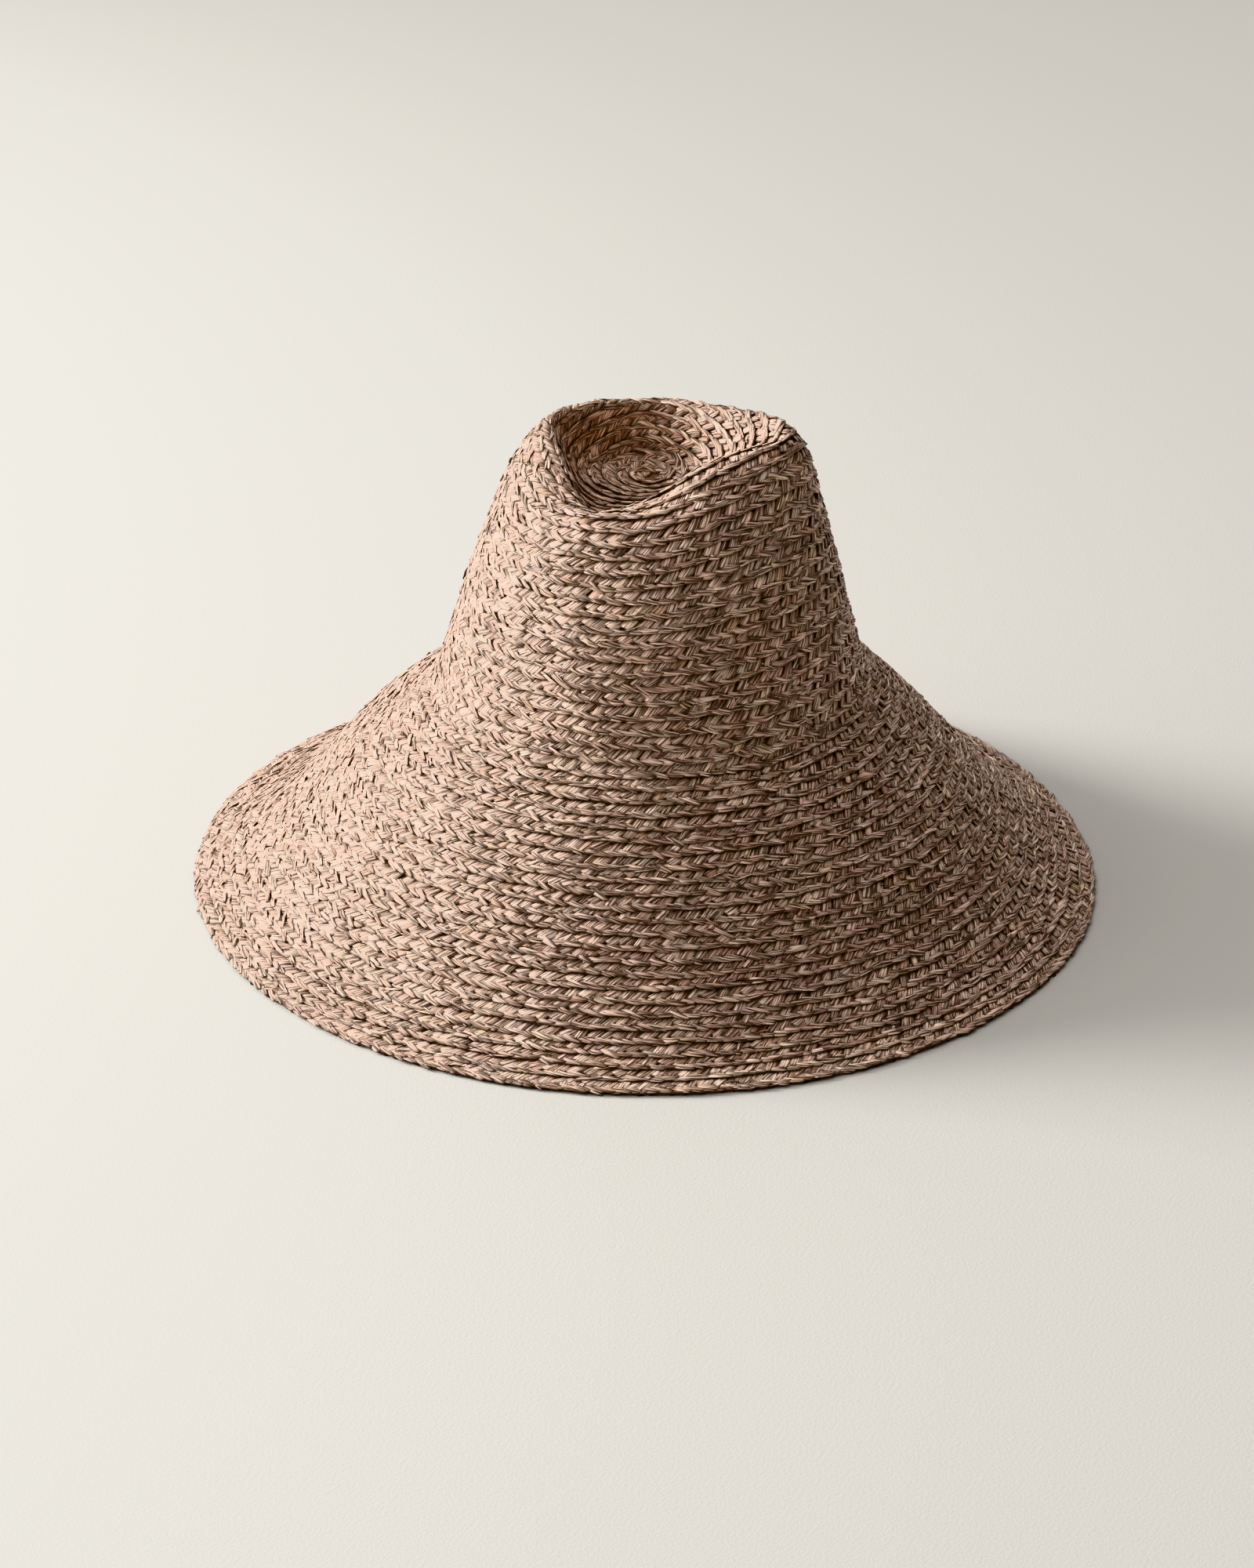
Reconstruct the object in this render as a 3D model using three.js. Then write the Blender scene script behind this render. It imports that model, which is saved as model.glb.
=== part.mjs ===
// A wide raffia sun hat: one flat plait sewn in a spiral, shaped into a tapered crown with a
// teardrop dent in its tip and a wide brim that slopes down to the surface it rests on.
// Millimetres, +Z up. The front of the hat is -Y and the wearer's left side is +X.
// The origin is at the centre of the brim's edge, on the plane that the edge rests on.

import * as THREE from 'three';

// Driving dimensions
const WALL = 2.2;            // thickness of the sewn plait
const EDGE_RADIUS = 204.5;   // outer edge of the brim
const REST_HEIGHT = 1.4;     // height of the brim's outer edge above its flat resting rim
const REST_WIDTH = 3.6;      // width of the flat rim under the edge
const SEAM_GAP = 0.3;        // gap between the crown and the brim at the fold
const SPOKES = 64;           // facets round the hat

const RAFFIA = new THREE.MeshStandardMaterial({ color: 0xb3917a, roughness: 0.85, metalness: 0 });

// Each row is one section round the hat. front, right, back and left are how far it reaches from
// its own centre (x, y); frontRound and backRound shape its two halves, where 2 is an ellipse and
// towards 1 it turns into a blunt point; zFront, zRight, zBack and zLeft are its heights there.
// bands is the number of facet bands to the next row.
const RIDGE = { front: 55, right: 67.5, back: 40, left: 44.5, frontRound: 1.06, backRound: 1.75,
  x: -1.5, y: 0, zFront: 195, zRight: 219, zBack: 210.5, zLeft: 211, bands: 1 };
const FOLD = { front: 101, right: 95, back: 101, left: 95, frontRound: 2, backRound: 2,
  x: 1, y: 0, zFront: 98, zRight: 94.5, zBack: 98, zLeft: 94.5, bands: 2 };

const TIP = [
  { front: 0, right: 0, back: 0, left: 0, frontRound: 2, backRound: 2,
    x: -7.5, y: 16, zFront: 184, zRight: 184, zBack: 184, zLeft: 184, bands: 2 },
  { front: 20, right: 19, back: 15.5, left: 16.5, frontRound: 1.85, backRound: 2,
    x: -7, y: 14.5, zFront: 184.5, zRight: 187.5, zBack: 187.5, zLeft: 185.5, bands: 2 },
  { front: 39, right: 36, back: 25, left: 29.5, frontRound: 1.5, backRound: 1.9,
    x: -4.5, y: 8.5, zFront: 187, zRight: 197.5, zBack: 197, zLeft: 189, bands: 2 },
  { front: 50, right: 53.5, back: 34, left: 38.5, frontRound: 1.2, backRound: 1.75,
    x: -2.5, y: 3, zFront: 190.5, zRight: 211, zBack: 205.5, zLeft: 200, bands: 2 },
  RIDGE,
];
const SIDE = [
  RIDGE,
  { front: 61, right: 71, back: 48, left: 51.5, frontRound: 1.36, backRound: 1.68,
    x: -1, y: 0, zFront: 192, zRight: 216, zBack: 208, zLeft: 208, bands: 2 },
  { front: 66, right: 75, back: 57, left: 61, frontRound: 1.7, backRound: 1.95,
    x: -0.5, y: 0, zFront: 183.5, zRight: 202, zBack: 195, zLeft: 193, bands: 3 },
  { front: 77, right: 79.5, back: 74, left: 73, frontRound: 1.9, backRound: 2,
    x: 1.5, y: 0, zFront: 162, zRight: 167, zBack: 167, zLeft: 167, bands: 3 },
  { front: 89, right: 86, back: 88, left: 84.5, frontRound: 2, backRound: 2,
    x: 2, y: 0, zFront: 130, zRight: 130, zBack: 130, zLeft: 130, bands: 3 },
  FOLD,
];
const BRIM = [
  FOLD,
  { front: 123, right: 118, back: 123, left: 118, frontRound: 2, backRound: 2,
    x: 0.5, y: 0, zFront: 76.5, zRight: 74.5, zBack: 76.5, zLeft: 74.5, bands: 2 },
  { front: 144, right: 140, back: 144, left: 140, frontRound: 2, backRound: 2,
    x: 0, y: 0, zFront: 54, zRight: 52.5, zBack: 54, zLeft: 52.5, bands: 2 },
  { front: 165, right: 162, back: 163, left: 162, frontRound: 2, backRound: 1.97,
    x: 0, y: 0, zFront: 32, zRight: 28, zBack: 30, zLeft: 28, bands: 2 },
  { front: 185, right: 184, back: 183, left: 184, frontRound: 2, backRound: 1.93,
    x: 0, y: 0, zFront: 12.5, zRight: 10.5, zBack: 11, zLeft: 10.5, bands: 2 },
  { front: EDGE_RADIUS, right: EDGE_RADIUS, back: EDGE_RADIUS, left: EDGE_RADIUS,
    frontRound: 2, backRound: 1.9, x: 0, y: 0,
    zFront: REST_HEIGHT, zRight: REST_HEIGHT, zBack: REST_HEIGHT, zLeft: REST_HEIGHT, bands: 0 },
];

// The section at a place between two rows of a table, on a smooth curve through all the rows.
function sectionAt(table, place) {
  const last = table.length - 1;
  const index = Math.min(Math.floor(place), last - 1);
  const t = place - index;
  const slope = (name, i) => {
    if (i === 0) return table[1][name] - table[0][name];
    if (i === last) return table[last][name] - table[last - 1][name];
    return (table[i + 1][name] - table[i - 1][name]) / 2;
  };
  const section = {};
  for (const name of Object.keys(table[0])) {
    const blend = 3 * t ** 2 - 2 * t ** 3;
    const startBend = t ** 3 - 2 * t ** 2 + t;
    const endBend = t ** 3 - t ** 2;
    section[name] = (1 - blend) * table[index][name] + blend * table[index + 1][name]
      + startBend * slope(name, index) + endBend * slope(name, index + 1);
  }
  return section;
}

// The point of a section at an angle that runs from the front (-Y) towards the right (+X).
function sectionPoint(section, angle) {
  const ahead = Math.cos(angle);
  const aside = Math.sin(angle);
  const isFront = ahead >= 0;
  const isRight = aside >= 0;
  const length = isFront ? section.front : section.back;
  const width = isRight ? section.right : section.left;
  const power = isFront ? section.frontRound : section.backRound;
  const reach = length === 0 ? 0
    : ((Math.abs(ahead) / length) ** power + (Math.abs(aside) / width) ** power) ** (-1 / power);
  const height = (isFront ? section.zFront : section.zBack) * ahead ** 2
    + (isRight ? section.zRight : section.zLeft) * aside ** 2;
  return new THREE.Vector3(section.x + reach * aside, section.y - reach * ahead, height);
}

// One ring of points round the hat for each facet band of a table.
function rings(table) {
  const result = [];
  table.slice(0, -1).forEach((row, index) => {
    for (let band = 0; band < row.bands; band++) {
      result.push(ringAt(table, index + band / row.bands));
    }
  });
  result.push(ringAt(table, table.length - 1));
  return result;
}

function ringAt(table, place) {
  const section = sectionAt(table, place);
  return spokeAngles().map((angle) => sectionPoint(section, angle));
}

function spokeAngles() {
  return Array.from({ length: SPOKES }, (_, spoke) => 2 * Math.PI * spoke / SPOKES);
}

// The inner face of the wall: each point moved square to the surface by the wall's thickness.
function innerRings(outer) {
  return outer.map((ring, i) => ring.map((point, spoke) => {
    const before = outer[Math.max(i - 1, 0)];
    const after = outer[Math.min(i + 1, outer.length - 1)];
    const along = after[spoke].clone().sub(before[spoke]);
    const round = ring[(spoke + 1) % SPOKES].clone().sub(ring[(spoke + SPOKES - 1) % SPOKES]);
    const normal = i === 0 ? new THREE.Vector3(0, 0, 1) : round.cross(along).negate().normalize();
    return point.clone().addScaledVector(normal, -WALL);
  }));
}

// A ring moved a short way towards another, to leave half of the seam's gap.
function towards(ring, other, distance) {
  return ring.map((point, spoke) => {
    const step = other[spoke].clone().sub(point).setLength(distance);
    return point.clone().add(step);
  });
}

// A closed wall from a list of rings, each joined to the next and the last to the first where
// closes is true; otherwise its first and last rings are single points on the axis.
function wallGeometry(loop, closes) {
  const vertices = [];
  const faces = [];
  const first = loop.map((ring) => {
    const start = vertices.length / 3;
    ring.forEach((point) => vertices.push(point.x, point.y, point.z));
    return start;
  });
  const bands = closes ? loop.length : loop.length - 1;
  for (let band = 0; band < bands; band++) {
    const next = (band + 1) % loop.length;
    for (let spoke = 0; spoke < SPOKES; spoke++) {
      const turn = (spoke + 1) % SPOKES;
      const a = first[band] + (loop[band].length > 1 ? spoke : 0);
      const b = first[band] + (loop[band].length > 1 ? turn : 0);
      const c = first[next] + (loop[next].length > 1 ? turn : 0);
      const d = first[next] + (loop[next].length > 1 ? spoke : 0);
      if (a !== b) faces.push(a, c, b);
      if (c !== d) faces.push(a, d, c);
    }
  }
  const geometry = new THREE.BufferGeometry();
  geometry.setAttribute('position', new THREE.Float32BufferAttribute(vertices, 3));
  geometry.setIndex(faces);
  geometry.computeVertexNormals();
  return geometry;
}

// The whole outer face, from the middle of the dent over the ridge and the fold to the edge.
const tipRings = rings(TIP);
const sideRings = rings(SIDE);
const brimRings = rings(BRIM);
const outer = [...tipRings, ...sideRings.slice(1), ...brimRings.slice(1)];
const inner = innerRings(outer);
const foldIndex = tipRings.length + sideRings.length - 2;
const edgeIndex = outer.length - 1;

function crown() {
  const outside = outer.slice(1, foldIndex);
  const inside = inner.slice(1, foldIndex);
  const lowOutside = towards(outer[foldIndex], outer[foldIndex - 1], SEAM_GAP / 2);
  const lowInside = towards(inner[foldIndex], inner[foldIndex - 1], SEAM_GAP / 2);
  const loop = [[outer[0][0]], ...outside, lowOutside, lowInside, ...inside.reverse(), [inner[0][0]]];
  const mesh = new THREE.Mesh(wallGeometry(loop, false), RAFFIA);
  mesh.name = 'crown';
  return mesh;
}

// The brim ends in a narrow flat rim, so that it rests level all the way round.
function brim() {
  const outside = outer.slice(foldIndex + 1);
  const inside = inner.slice(foldIndex + 1, edgeIndex);
  const highOutside = towards(outer[foldIndex], outer[foldIndex + 1], SEAM_GAP / 2);
  const highInside = towards(inner[foldIndex], inner[foldIndex + 1], SEAM_GAP / 2);
  const rim = (share) => outer[edgeIndex].map(
    (point) => new THREE.Vector3(point.x * share, point.y * share, 0));
  const loop = [highOutside, ...outside, rim(1), rim(1 - REST_WIDTH / EDGE_RADIUS),
    ...inside.reverse(), highInside];
  const mesh = new THREE.Mesh(wallGeometry(loop, true), RAFFIA.clone());
  mesh.name = 'brim';
  return mesh;
}

const hat = new THREE.Group();
hat.name = 'raffia_hat';
hat.add(crown(), brim());

export default hat;
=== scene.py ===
"""A wide raffia sun hat: one flat plait sewn in a spiral from the tip of the crown to the brim's edge.

The hat's outer face is worked out from short tables of sections, and the plait's rows run round it in
a spiral. Each strand that shows is a closed mesh of its own, laid on that face at its place in the row.
Sizes are in millimetres until a piece is made, and every piece is made in metres.
"""

import logging
import math
from dataclasses import dataclass, field
from enum import Enum

import bmesh
import bpy
import numpy as np
from mathutils import Matrix, Vector


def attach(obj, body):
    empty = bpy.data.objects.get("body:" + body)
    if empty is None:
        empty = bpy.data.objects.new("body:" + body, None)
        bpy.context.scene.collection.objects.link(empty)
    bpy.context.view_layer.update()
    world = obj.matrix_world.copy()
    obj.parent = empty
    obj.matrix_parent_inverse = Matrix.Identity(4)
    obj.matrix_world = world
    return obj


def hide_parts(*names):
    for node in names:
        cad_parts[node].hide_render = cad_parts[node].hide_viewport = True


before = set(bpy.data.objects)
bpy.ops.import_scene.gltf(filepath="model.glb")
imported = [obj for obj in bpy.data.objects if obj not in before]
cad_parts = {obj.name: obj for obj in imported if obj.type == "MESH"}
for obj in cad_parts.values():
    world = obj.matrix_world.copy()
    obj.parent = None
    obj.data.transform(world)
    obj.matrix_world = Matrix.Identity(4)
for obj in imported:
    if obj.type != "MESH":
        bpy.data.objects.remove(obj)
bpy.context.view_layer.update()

logging.basicConfig(level=logging.INFO, format="%(name)s: %(message)s")
log = logging.getLogger("hat")

MM = 0.001
FULL_TURN = 2 * math.pi
TINY = 1e-6
NEARLY_SAME = 1e-4
ROOT = "root"
BAKE_MAP = "OFBake"
STRAND_MAP = "strand"


@dataclass(frozen=True)
class Section:
    """One section round the hat, in millimetres.

    front, right, back and left are its reach from its own centre (x, y). front_round and back_round
    shape its halves: 2 is an ellipse, and towards 1 it turns into a blunt point. z_front, z_right,
    z_back and z_left are its heights.
    """

    front: float
    right: float
    back: float
    left: float
    front_round: float
    back_round: float
    x: float
    y: float
    z_front: float
    z_right: float
    z_back: float
    z_left: float

    def row(self) -> list[float]:
        """Returns the section's numbers in the order of its fields."""
        return list(vars(self).values())


RIDGE = Section(55, 67.5, 40, 44.5, 1.06, 1.75, -1.5, 0, 195, 219, 210.5, 211)
FOLD = Section(101, 95, 101, 95, 2, 2, 1, 0, 98, 94.5, 98, 94.5)
TIP = (
    Section(0, 0, 0, 0, 2, 2, -7.5, 16, 184, 184, 184, 184),
    Section(20, 19, 15.5, 16.5, 1.85, 2, -7, 14.5, 184.5, 187.5, 187.5, 185.5),
    Section(39, 36, 25, 29.5, 1.5, 1.9, -4.5, 8.5, 187, 197.5, 197, 189),
    Section(50, 53.5, 34, 38.5, 1.2, 1.75, -2.5, 3, 190.5, 211, 205.5, 200),
    RIDGE,
)
SIDE = (
    RIDGE,
    Section(61, 71, 48, 51.5, 1.36, 1.68, -1, 0, 192, 216, 208, 208),
    Section(66, 75, 57, 61, 1.7, 1.95, -0.5, 0, 183.5, 202, 195, 193),
    Section(77, 79.5, 74, 73, 1.9, 2, 1.5, 0, 162, 167, 167, 167),
    Section(89, 86, 88, 84.5, 2, 2, 2, 0, 130, 130, 130, 130),
    FOLD,
)
BRIM = (
    FOLD,
    Section(123, 118, 123, 118, 2, 2, 0.5, 0, 76.5, 74.5, 76.5, 74.5),
    Section(144, 140, 144, 140, 2, 2, 0, 0, 54, 52.5, 54, 52.5),
    Section(165, 162, 163, 162, 2, 1.97, 0, 0, 32, 28, 30, 28),
    Section(185, 184, 183, 184, 2, 1.93, 0, 0, 12.5, 10.5, 11, 10.5),
    Section(204.5, 204.5, 204.5, 204.5, 2, 1.9, 0, 0, 1.4, 1.4, 1.4, 1.4),
)


def curve_through(sections: tuple[Section, ...], places: np.ndarray) -> np.ndarray:
    """Works out sections on a smooth curve through a table's sections.

    Args:
        sections: the table, from the hat's middle outwards.
        places: positions along the table, where 0 is the first section and 1 the second.

    Returns:
        One row of section numbers for each place.
    """
    table = np.array([section.row() for section in sections])
    slopes = np.gradient(table, axis=0)
    index = np.clip(places.astype(int), 0, len(table) - 2)
    t = (places - index)[:, None]
    blend = 3 * t**2 - 2 * t**3
    start_bend = t**3 - 2 * t**2 + t
    end_bend = t**3 - t**2
    return ((1 - blend) * table[index] + blend * table[index + 1]
            + start_bend * slopes[index] + end_bend * slopes[index + 1])


def section_points(rows: np.ndarray, angles: np.ndarray) -> np.ndarray:
    """Places points on sections.

    Args:
        rows: section numbers, one row for each section.
        angles: angles from the back of the hat (+Y) towards -X.

    Returns:
        Points in millimetres, indexed by section and angle.
    """
    front, right, back, left, front_round, back_round, x, y, z_front, z_right, z_back, z_left = (
        rows.T[:, :, None])
    ahead = -np.cos(angles)[None]
    aside = -np.sin(angles)[None]
    length = np.maximum(np.where(ahead >= 0, front, back), TINY)
    width = np.maximum(np.where(aside >= 0, right, left), TINY)
    power = np.where(ahead >= 0, front_round, back_round)
    reach = ((np.abs(ahead) / length) ** power + (np.abs(aside) / width) ** power) ** (-1 / power)
    height = (np.where(ahead >= 0, z_front, z_back) * ahead**2
              + np.where(aside >= 0, z_right, z_left) * aside**2)
    return np.stack([x + reach * aside, y - reach * ahead, height], axis=-1)


@dataclass
class Form:
    """The hat's outer face as a fine grid over rows of plait and angles round the hat.

    crown_rows and brim_rows are the rows of plait in each part. The ridge round the dent is rounded
    over ridge_softness_rows. The face sways by about sway_mm in waves of sway_lengths_mm, but for its
    last calm_edge_rows. Nothing comes nearer to the floor than floor_clearance_mm.
    """

    crown_rows: float = 30.0
    brim_rows: float = 24.5
    samples_per_row: int = 8
    angle_count: int = 720
    samples_per_section: int = 40
    grid_end_gap: float = 0.001
    ridge_softness_rows: float = 0.3
    sway_mm: float = 0.45
    sway_waves: int = 14
    sway_lengths_mm: tuple[float, float] = (35, 110)
    sway_seed: int = 11
    calm_edge_rows: float = 3.0
    floor_clearance_mm: float = 0.25
    points: np.ndarray = field(init=False)
    normals: np.ndarray = field(init=False)
    rim_step: np.ndarray = field(init=False)

    @property
    def rows(self) -> float:
        """Returns the number of rows from the middle of the tip to the brim's edge."""
        return self.crown_rows + self.brim_rows

    def __post_init__(self) -> None:
        """Works out the grid of points and their normals."""
        angles = np.arange(self.angle_count) * FULL_TURN / self.angle_count
        crown = self._spaced([TIP, SIDE], angles, self.crown_rows)
        crown = self._softened(crown)
        brim = self._spaced([BRIM], angles, self.brim_rows)
        points = np.concatenate([crown[:-1], brim])
        normals = self._normals_of(points)
        points = points + self._sway(points)[..., None] * normals
        self.points = points
        self.normals = self._normals_of(points)
        self.rim_step = np.repeat(points[-1:] - points[-2:-1], 2, axis=0)

    def _spaced(self, tables: list[tuple[Section, ...]], angles: np.ndarray, rows: float) -> np.ndarray:
        """Samples tables at even distances along the face, angle by angle.

        Args:
            tables: the tables, from the hat's middle outwards.
            angles: angles round the hat from its back.
            rows: the number of rows of plait that the tables hold.

        Returns:
            Points in millimetres, indexed by sample and angle.
        """
        parts = []
        for table in tables:
            places = np.linspace(0, len(table) - 1, (len(table) - 1) * self.samples_per_section + 1)
            parts.append(section_points(curve_through(table, places), angles))
        fine = np.concatenate([parts[0]] + [part[1:] for part in parts[1:]])
        steps = np.linalg.norm(np.diff(fine, axis=0), axis=-1)
        travel = np.concatenate([np.zeros((1, len(angles))), np.cumsum(steps, axis=0)])
        count = int(round(rows * self.samples_per_row)) + 1
        spaced = np.empty((count, len(angles), 3))
        for spoke in range(len(angles)):
            wanted = np.linspace(0, travel[-1, spoke], count)
            for axis in range(3):
                spaced[:, spoke, axis] = np.interp(wanted, travel[:, spoke], fine[:, spoke, axis])
        return spaced

    def _softened(self, points: np.ndarray) -> np.ndarray:
        """Rounds the ridge round the dent, and leaves the middle and the fold as they are.

        Args:
            points: the crown's grid of points.

        Returns:
            The softened grid.
        """
        sigma = self.ridge_softness_rows * self.samples_per_row
        reach = int(3 * sigma)
        weights = np.exp(-0.5 * (np.arange(-reach, reach + 1) / sigma) ** 2)
        weights /= weights.sum()
        padded = np.concatenate([
            2 * points[:1] - points[reach:0:-1], points, 2 * points[-1:] - points[-2:-reach - 2:-1]])
        return sum(w * padded[i:i + len(points)] for i, w in enumerate(weights))

    def _sway(self, points: np.ndarray) -> np.ndarray:
        """Works out the slow unevenness of the hand-sewn face.

        Args:
            points: the grid of points.

        Returns:
            Millimetres out of the face at each point.
        """
        rng = np.random.default_rng(self.sway_seed)
        sway = np.zeros(points.shape[:2])
        for _ in range(self.sway_waves):
            direction = rng.normal(size=3)
            direction *= FULL_TURN / (rng.uniform(*self.sway_lengths_mm) * np.linalg.norm(direction))
            sway += np.sin(points @ direction + rng.uniform(0, FULL_TURN))
        sway *= self.sway_mm / math.sqrt(self.sway_waves / 2)
        rows_from_edge = (len(points) - 1 - np.arange(len(points))) / self.samples_per_row
        return sway * np.clip(rows_from_edge / self.calm_edge_rows, 0, 1)[:, None]

    @staticmethod
    def _normals_of(points: np.ndarray) -> np.ndarray:
        """Works out the outward unit normals of a grid of points.

        Args:
            points: the grid of points.

        Returns:
            The normals, straight up at the middle of the tip.
        """
        down = np.gradient(points, axis=0)
        turn = np.roll(points, -1, axis=1) - np.roll(points, 1, axis=1)
        normals = np.cross(down, turn)
        lengths = np.linalg.norm(normals, axis=-1, keepdims=True)
        normals = normals / np.maximum(lengths, TINY)
        normals[0] = (0, 0, 1)
        return normals

    def look_up(self, grid: np.ndarray, row: np.ndarray, angle: np.ndarray) -> np.ndarray:
        """Reads a grid between its samples.

        Args:
            grid: points or normals.
            row: places in rows from the middle of the tip.
            angle: angles round the hat from its back.

        Returns:
            The grid's values there.
        """
        v = np.clip(row * self.samples_per_row, 0, len(grid) - 1 - self.grid_end_gap)
        w = (angle / FULL_TURN * self.angle_count) % self.angle_count
        i = v.astype(int)
        j = w.astype(int) % self.angle_count
        k = (j + 1) % self.angle_count
        dv = (v - i)[..., None]
        dw = (w - np.floor(w))[..., None]
        top = grid[i, j] * (1 - dw) + grid[i, k] * dw
        bottom = grid[i + 1, j] * (1 - dw) + grid[i + 1, k] * dw
        return top * (1 - dv) + bottom * dv

    def place(self, row: np.ndarray, angle: np.ndarray, height: np.ndarray) -> np.ndarray:
        """Places points at heights over the outer face, never lower than the floor.

        Args:
            row: places in rows from the middle of the tip.
            angle: angles round the hat from its back.
            height: millimetres out of the face, less than 0 for into the wall.

        Returns:
            Points in millimetres.
        """
        beyond = np.maximum(row - self.rows, 0)[..., None] * self.samples_per_row
        points = self.look_up(self.points, row, angle)
        points = points + self.look_up(self.rim_step, np.zeros_like(row), angle) * beyond
        points = points + self.look_up(self.normals, row, angle) * height[..., None]
        points[..., 2] = np.maximum(points[..., 2], self.floor_clearance_mm)
        return points

    def turn_radius(self, row: np.ndarray, angle: np.ndarray) -> np.ndarray:
        """Works out how far a point moves round the hat for each radian.

        Args:
            row: places in rows from the middle of the tip.
            angle: angles round the hat from its back.

        Returns:
            Millimetres for each radian.
        """
        step = FULL_TURN / self.angle_count
        ahead = self.look_up(self.points, row, angle + step)
        behind = self.look_up(self.points, row, angle - step)
        return np.linalg.norm(ahead - behind, axis=-1) / (2 * step)


@dataclass
class Plait:
    """The spiral that the plait follows over the hat's face.

    Its rows move outwards within shift_angle of the hat's back, in radians. They wander by about
    wander_rows, in waves of a strength, a rate for each radian turned and a start. The plait ends
    tail_turns after the last row. spacing_spread is the unevenness of its strands' spacing, as a share.
    """

    form: Form
    shift_angle: float = math.radians(34)
    wander_rows: float = 0.05
    wander_waves: tuple = ((1.0, 3.7, 0.0), (0.7, 8.3, 1.0), (0.5, 17.9, 2.0))
    tail_turns: float = 0.5
    spacing_spread: float = 0.08
    steps_per_turn: int = 720

    @property
    def turns(self) -> float:
        """Returns the number of turns from the plait's start to its end."""
        return self.form.rows + self.tail_turns

    def upper_edge(self, travel: np.ndarray) -> np.ndarray:
        """Finds where the row's upper edge is.

        The spiral is even at the middle of the tip. Towards the brim its rows run level for most of
        their turn and move outwards near the back, where the plait also ends.

        Args:
            travel: the angle turned since the plait's start, in radians.

        Returns:
            The place of the row's upper edge in rows from the middle of the tip.
        """
        turn = np.floor(travel / FULL_TURN)
        angle = travel - turn * FULL_TURN
        early = np.clip(angle / self.shift_angle, 0, 1)
        late = np.clip((angle - FULL_TURN + self.shift_angle) / self.shift_angle, 0, 1)
        level = 0.5 * early**2 * (3 - 2 * early) + 0.5 * late**2 * (3 - 2 * late)
        share = np.clip(turn / self.form.rows, 0, 1)
        wander = sum(strength * np.sin(travel * rate + start)
                     for strength, rate, start in self.wander_waves)
        return turn + (1 - share) * angle / FULL_TURN + share * level + self.wander_rows * wander

    def stations(self, first_turn: float, last_turn: float, spacing: float,
                 seed: int) -> np.ndarray:
        """Sets out the places of the strands along the plait.

        Args:
            first_turn: where to start, in turns from the plait's start.
            last_turn: where to stop.
            spacing: the distance between strands in millimetres.
            seed: the seed of their unevenness.

        Returns:
            The angle turned at each strand.
        """
        count = int((last_turn - first_turn) * self.steps_per_turn)
        travel = np.linspace(first_turn, last_turn, count) * FULL_TURN
        row = np.clip(self.upper_edge(travel) + 0.5, 0, self.form.rows)
        radius = self.form.turn_radius(row, travel)
        distance = np.concatenate([[0], np.cumsum(radius[1:] * np.diff(travel))])
        wanted = np.arange(0.5 * spacing, distance[-1], spacing)
        rng = np.random.default_rng(seed)
        wanted = wanted + rng.normal(0, self.spacing_spread * spacing, len(wanted))
        return np.interp(wanted, distance, travel)


class Face(Enum):
    """The face of the wall that strands lie on."""

    OUTSIDE = 1
    INSIDE = -1


@dataclass(frozen=True)
class Strand:
    """A strand of the plait as it shows in each row, in millimetres and degrees.

    lean is how its right-hand end rises, place is its middle's share of the way down the row, bow
    bends it upwards in the middle, lift is its middle's height over the face, tilt is how much its
    right-hand end stands out, roll how much its upper side does and dive how far its ends sink.
    shear cuts its ends aslant and taper narrows its right-hand end. ribbons holds the shares of
    strands that are folded into one, two and three ribbons. flatness is the power that squares the
    ribbon's outline, towards 0, and end_fullness the one that keeps its thickness towards its ends.
    """

    length: float
    width: float
    thickness: float
    lean: float
    place: float
    bow: float = 0.0
    lift: float = 0.0
    tilt: float = 0.0
    roll: float = 0.0
    dive: float = 0.4
    shear: float = 0.0
    taper: float = 0.0
    ribbons: tuple = (0.6, 0.3, 0.1)
    ring_points: int = 6
    rings: int = 4
    flatness: float = 0.4
    end_fullness: float = 0.25
    unevenness: float = 1.0

    def template(self) -> bmesh.types.BMesh:
        """Makes one straight ribbon of length, width and thickness 2, along X, with flat faces.

        Returns:
            The ribbon's mesh, sharp along its sides, which the caller frees.
        """
        mesh = bmesh.new()
        bmesh.ops.create_uvsphere(mesh, u_segments=self.ring_points, v_segments=self.rings, radius=1)
        bmesh.ops.rotate(mesh, verts=mesh.verts, matrix=Matrix.Rotation(math.radians(90), 3, "Y"))
        half_side = Matrix.Rotation(math.pi / self.ring_points, 3, "X")
        bmesh.ops.rotate(mesh, verts=mesh.verts, matrix=half_side)
        for vertex in mesh.verts:
            x, y, z = vertex.co
            radius = math.hypot(y, z)
            vertex.co.x = math.copysign(abs(x) ** self.flatness, x)
            if radius > TINY:
                full = radius**self.end_fullness / radius
                vertex.co.y = math.copysign(abs(y * full) ** self.flatness, y)
                vertex.co.z = z * full
        for edge in mesh.edges:
            first, second = (vertex.co for vertex in edge.verts)
            apart = max(abs(first.y - second.y), abs(first.z - second.z))
            edge.smooth = apart >= NEARLY_SAME
        bmesh.ops.triangulate(mesh, faces=mesh.faces)
        bmesh.ops.recalc_face_normals(mesh, faces=mesh.faces)
        return mesh


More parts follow.
